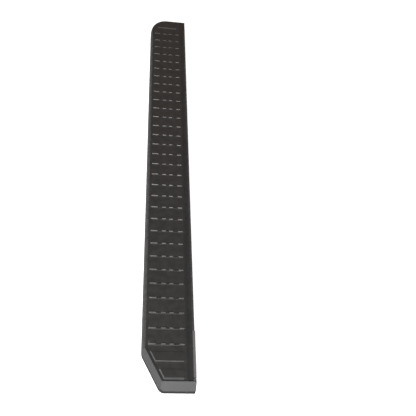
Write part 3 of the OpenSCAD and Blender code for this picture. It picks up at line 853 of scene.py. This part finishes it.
def paint_angled_cap(cap):
    """Lit and shaded copies of the angled cap's plastic: painted shade on the walls, the groove and the
    ridge land, painted light on the lip and the nosing.
    """
    shoulder = Y_TIP + TIP_RUN + RIDGE_LAND

    def is_wall(face):
        return face.center.z / MM < WALL_TOP or face.normal.z < 0.05

    def is_groove(face):
        x, y, z = face.center / MM
        return PAD_X - 2 < x < GROOVE_EDGE and y > shoulder and z > UNDER_Z

    def is_lip(face):
        x, y, z = face.center / MM
        return x >= GROOVE_EDGE and y > shoulder and z > PLATE_Z - 0.5 and face.normal.z > 0.3

    def is_nosing(face):
        x, y = face.center.xy / MM
        return y > Y_TIP + DIAGONAL_L - 2 and x < NOSING_X + 1

    def is_ridge(face):
        return face.center.z / MM > DECK_Z - 0.2 and face.normal.z > 0.9 and not is_lip(face)

    for material, chosen in ((SHADED_WALL_PLASTIC, is_wall), (SHADED_GROOVE_PLASTIC, is_groove), (LIT_LIP_PLASTIC, is_lip),
                             (LIT_NOSE_PLASTIC, is_nosing), (SHADED_GROOVE_PLASTIC, is_ridge)):
        paint_faces(cap, material, chosen)


def cut_lip_notches(cap):
    """Notches across the lip of the angled cap."""
    for low, high in LIP_NOTCHES:
        outline = [(NOTCH_X, Y_TIP + low), (X_IN + 1, Y_TIP + low), (X_IN + 1, Y_TIP + high),
                   (NOTCH_X, Y_TIP + high)]
        cut(cap, prism_z("notch", outline, NOTCH_FLOOR, PLATE_Z + 1))


def make_caps():
    for node, name, material in (("angled_end_cap", "angled_cap", CAP_PLASTIC),
                                 ("rounded_end_cap", "rounded_cap", END_PLASTIC)):
        cap = cad_copy(node, name)
        if node == "angled_end_cap":
            cut_lip_notches(cap)
        soften(cap, 0.5, 2, 25, clamp=False)
        smooth(cap, 35)
        finish_piece(cap, material, "board", "moulded_cap", node)
        if node == "angled_end_cap":
            paint_angled_cap(cap)


# ---------------------------------------------------------------- bolts

def ring_points(r, z, n=48):
    return [(r * cos(2 * pi * i / n), r * sin(2 * pi * i / n), z) for i in range(n)]


def square_points(half, corner_r, z, n=48):
    """Ring of n points round a square with rounded corners."""
    flat = rounded([(half, -half, corner_r), (half, half, corner_r), (-half, half, corner_r),
                    (-half, -half, corner_r)], n // 4 - 1)
    return [(x, y, z) for x, y in flat]


def thread_tree():
    """Rolled thread: a sharp-crested coil on a core, made from its sizes."""
    nodes, given, out = new_group(
        "rolled thread", "GeometryNodeTree",
        {"Shank": (SHAPE, None), "Radius": (FLOAT, 0.004), "Pitch": (FLOAT, 0.00125),
         "Length": (FLOAT, 0.018), "Place": (VECTOR, None), "Finish": (FINISH, None)},
        {"Bolt": SHAPE})
    math, add, tree = nodes.math, nodes.add, nodes.tree
    size = math("MULTIPLY", given["Pitch"], THREAD_SHARE)
    middle = math("SUBTRACT", given["Radius"], size)
    turns = math("DIVIDE", given["Length"], given["Pitch"])
    coil = add("GeometryNodeCurveSpiral", {"Resolution": 28, "Rotations": turns, "Start Radius": middle,
                                           "End Radius": middle, "Height": given["Length"]}).outputs[0]
    coil = add("GeometryNodeSetCurveNormal", {"Curve": coil}, mode="Z_UP").outputs[0]
    section = add("GeometryNodeCurvePrimitiveCircle", {"Resolution": 4, "Radius": 1.0}).outputs[0]
    sweep = add("GeometryNodeCurveToMesh", {
        "Curve": coil, "Profile Curve": section, "Scale": size, "Fill Caps": True})
    thread = add("GeometryNodeTransform", {
        "Geometry": sweep.outputs[0], "Translation": given["Place"]})
    both = add("GeometryNodeJoinGeometry", {0: thread.outputs[0]})
    tree.links.new(given["Shank"], both.inputs[0])
    both = add("GeometryNodeRealizeInstances", {0: both.outputs[0]}).outputs[0]
    both = add("GeometryNodeSetMaterial", {"Geometry": both, "Material": given["Finish"]}).outputs[0]
    tree.links.new(both, out["Bolt"])
    return tree


def make_bolt(node, body, x, y, tree):
    """Square-headed bolt: chamfered head, plain neck, rolled thread and a chamfered tip."""
    half, corner = HEAD_W / 2, HEAD_CORNER
    top, low = BOLT_TOP + HEAD_H, BOLT_TOP
    start = BOLT_BOTTOM + TIP_CHAMFER
    bm = bmesh.new()
    stack(bm, [square_points(half - 0.5, corner, low), square_points(half, corner, low + 0.5),
               square_points(half, corner, top - 0.9), square_points(half - 0.35, corner, top - 0.35),
               square_points(half - 1.1, corner, top)])
    stack(bm, [ring_points(r, z) for r, z in (
        (BOLT_R - 1.2, BOLT_BOTTOM), (BOLT_R - 1.0, BOLT_BOTTOM + 0.15), (BOLT_CORE_R, start),
        (BOLT_CORE_R, THREAD_TOP - 0.3), (BOLT_NECK_R, THREAD_TOP + 0.2), (BOLT_NECK_R, BOLT_TOP - 0.5),
        (BOLT_NECK_R + 0.4, BOLT_TOP + 0.1))])
    for vert in bm.verts:
        vert.co += Vector((x, y, 0)) * MM
    bolt = mesh_from(node + "_made", bm)
    grow(bolt, tree, {"Radius": BOLT_R * MM, "Pitch": BOLT_PITCH * MM, "Length": (THREAD_TOP - start) * MM,
                      "Place": (x * MM, y * MM, start * MM), "Finish": ZINC})
    smooth(bolt, 38)
    finish_piece(bolt, ZINC, body, "zinc_plated_steel", node)


def make_retainer(node, body, x, y):
    """Push-on nylon washer: rounded rim, a raised hub and six teeth that grip the bolt."""
    z, edge, top = RETAINER_Z, RETAINER_EDGE, RETAINER_Z + RETAINER_T
    hub = top - 0.15
    count = 72

    def bore(depth):
        out = []
        for i in range(count):
            turn = 2 * pi * i / count
            notch = 0.5 + 0.5 * cos(RETAINER_TEETH * turn)
            r = BOLT_NECK_R + 0.05 + depth * notch ** 3
            out.append((r * cos(turn), r * sin(turn)))
        return out

    rim = [(RETAINER_R - edge, z), (RETAINER_R, z + edge), (RETAINER_R, top - edge),
           (RETAINER_R - edge, top), (BOLT_R + 1.4, hub)]
    bm = bmesh.new()
    rows = []
    for r, level in rim:
        ring = ring_points(r, level, count)
        rows.append([bm.verts.new(Vector((px * MM, py * MM, pz * MM))) for px, py, pz in ring])
    for depth, level in ((0.7, hub), (0.7, z + 1.0), (0.9, z)):
        rows.append([bm.verts.new(Vector((px, py, level)) * MM) for px, py in bore(depth)])
    for a, b in zip(rows, rows[1:] + rows[:1]):
        for i in range(count):
            j = (i + 1) % count
            bm.faces.new((a[i], a[j], b[j], b[i]))
    for vert in bm.verts:
        vert.co += Vector((x, y, 0)) * MM
    retainer = mesh_from(node + "_made", bm)
    smooth(retainer, 38)
    finish_piece(retainer, NYLON, body, "natural_nylon", node)


def make_bolts():
    """Each carriage's bolt and retainer, where the frame has them."""
    tree = thread_tree()
    for station in ("angled", "middle", "rounded"):
        for side in ("outer", "inner"):
            low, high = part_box(f"t_bolt_{station}_{side}")
            x, y = (low[0] + high[0]) / 2 / MM, (low[1] + high[1]) / 2 / MM
            body = f"{station}_{side}_bolt"
            make_bolt(f"t_bolt_{station}_{side}", body, x, y, tree)
            make_retainer(f"bolt_retainer_{station}_{side}", body, x, y)


# ---------------------------------------------------------------- small fixings

def make_fixings():
    for node, name, material, slot, width in (
            ("angled_cap_screws", "angled_screws", ZINC, "zinc_plated_steel", 0.12),
            ("rounded_cap_screws", "rounded_screws", ZINC, "zinc_plated_steel", 0.12),
            ("cover_clips", "clips", CLIP_NYLON, "black_nylon", 0.12),
            ("channel_stops", "stops", STOP_RUBBER, "black_rubber", 0.3),
            ("cover_tapes", "tapes", TAPE_FOAM, "foam_tape", 0.2)):
        piece = cad_copy(node, name)
        soften(piece, width, 2, 30)
        smooth(piece, 35)
        finish_piece(piece, material, "board", slot, node)


# ---------------------------------------------------------------- studio

def make_camera():
    """Camera above the angled end, looking along the board."""
    yaw, pitch, roll = (radians(turn) for turn in CAMERA_TURN)
    forward = Vector((sin(yaw) * cos(pitch), cos(yaw) * cos(pitch), -sin(pitch)))
    right = Vector((cos(yaw), -sin(yaw), 0))
    up = right.cross(forward)
    side = right * cos(roll) + up * sin(roll)
    top = -right * sin(roll) + up * cos(roll)
    turned = Matrix((side, top, -forward)).transposed().to_4x4()
    lens = bpy.data.cameras.new("camera")
    lens.sensor_width = SENSOR_MM
    lens.lens = LENS_MM
    lens.clip_start, lens.clip_end = 0.01, 60.0
    camera = bpy.data.objects.new("camera", lens)
    bpy.context.scene.collection.objects.link(camera)
    camera.matrix_world = Matrix.Translation(Vector(CAMERA_PLACE) * MM) @ turned
    bpy.context.scene.camera = camera


def make_floor():
    """Pale studio floor."""
    size = FLOOR_SIZE
    corners = [(-size, -size, 0), (size, -size, 0), (size, size, 0), (-size, size, 0)]
    mesh = bpy.data.meshes.new("floor")
    mesh.from_pydata(corners, [], [(0, 1, 2, 3)])
    floor = link("floor", mesh)
    material, nodes, shader, place = new_material("pale floor")
    cloud = nodes.add("ShaderNodeTexNoise", {"Vector": place, "Scale": 2.0})
    tone = blend_colours(nodes, cloud.outputs["Fac"], (0.93, 0.93, 0.93, 1), (0.95, 0.95, 0.95, 1))
    nodes.tree.links.new(tone, shader.inputs["Base Color"])
    shader.inputs["Roughness"].default_value = 0.9
    shader.inputs["Specular IOR Level"].default_value = 0.1
    shader.inputs["Emission Color"].default_value = (1, 1, 1, 1)
    seen = nodes.add("ShaderNodeLightPath").outputs["Is Camera Ray"]
    nodes.tree.links.new(nodes.math("MULTIPLY", seen, FLOOR_LIFT), shader.inputs["Emission Strength"])
    mesh.materials.append(material)


def softbox(name, place, aim, width, height, power, colour=(1, 1, 1)):
    lamp = bpy.data.lights.new(name, "AREA")
    lamp.shape = "RECTANGLE"
    lamp.size, lamp.size_y = width, height
    lamp.energy = power
    lamp.color = colour
    light = bpy.data.objects.new(name, lamp)
    bpy.context.scene.collection.objects.link(light)
    light.location = place
    light.rotation_euler = (Vector(aim) - Vector(place)).to_track_quat("-Z", "Y").to_euler()


def make_light():
    """Grey surroundings, warmer low behind the board, and two softboxes."""
    world = bpy.data.worlds.new("studio")
    bpy.context.scene.world = world
    world.use_nodes = True
    nodes = Nodes(world.node_tree)
    background = world.node_tree.nodes["Background"]
    sky = nodes.add("ShaderNodeTexCoord").outputs["Generated"]
    way = nodes.add("ShaderNodeSeparateXYZ", {0: sky}).outputs
    back = nodes.add("ShaderNodeMapRange", {"Value": way["Y"], "From Min": -0.1, "From Max": 0.8})
    tone = blend_colours(nodes, back.outputs[0], (0.295, 0.295, 0.31, 1), (0.195, 0.175, 0.165, 1))
    low = nodes.add("ShaderNodeMapRange", {"Value": way["Y"], "From Min": 0.7, "From Max": 0.86})
    tone = blend_colours(nodes, low.outputs[0], tone, (0.28, 0.165, 0.105, 1))
    seen = nodes.add("ShaderNodeLightPath").outputs["Is Camera Ray"]
    tone = blend_colours(nodes, seen, tone, (0.8, 0.8, 0.8, 1))
    nodes.tree.links.new(tone, background.inputs["Color"])
    background.inputs["Strength"].default_value = 1.0
    softbox("front softbox", (-1.3, -4.6, 3.0), (0, 0, 0), 3.6, 1.6, 560)
    softbox("side softbox", (-4.0, -0.6, 3.0), (0, 0, 0), 3.0, 1.6, 16)


make_camera()
make_floor()
make_light()
make_rail()
make_tread()
make_caps()
make_bolts()
make_fixings()

scene = bpy.context.scene
scene.view_settings.view_transform = "Standard"
scene.view_settings.look = "None"
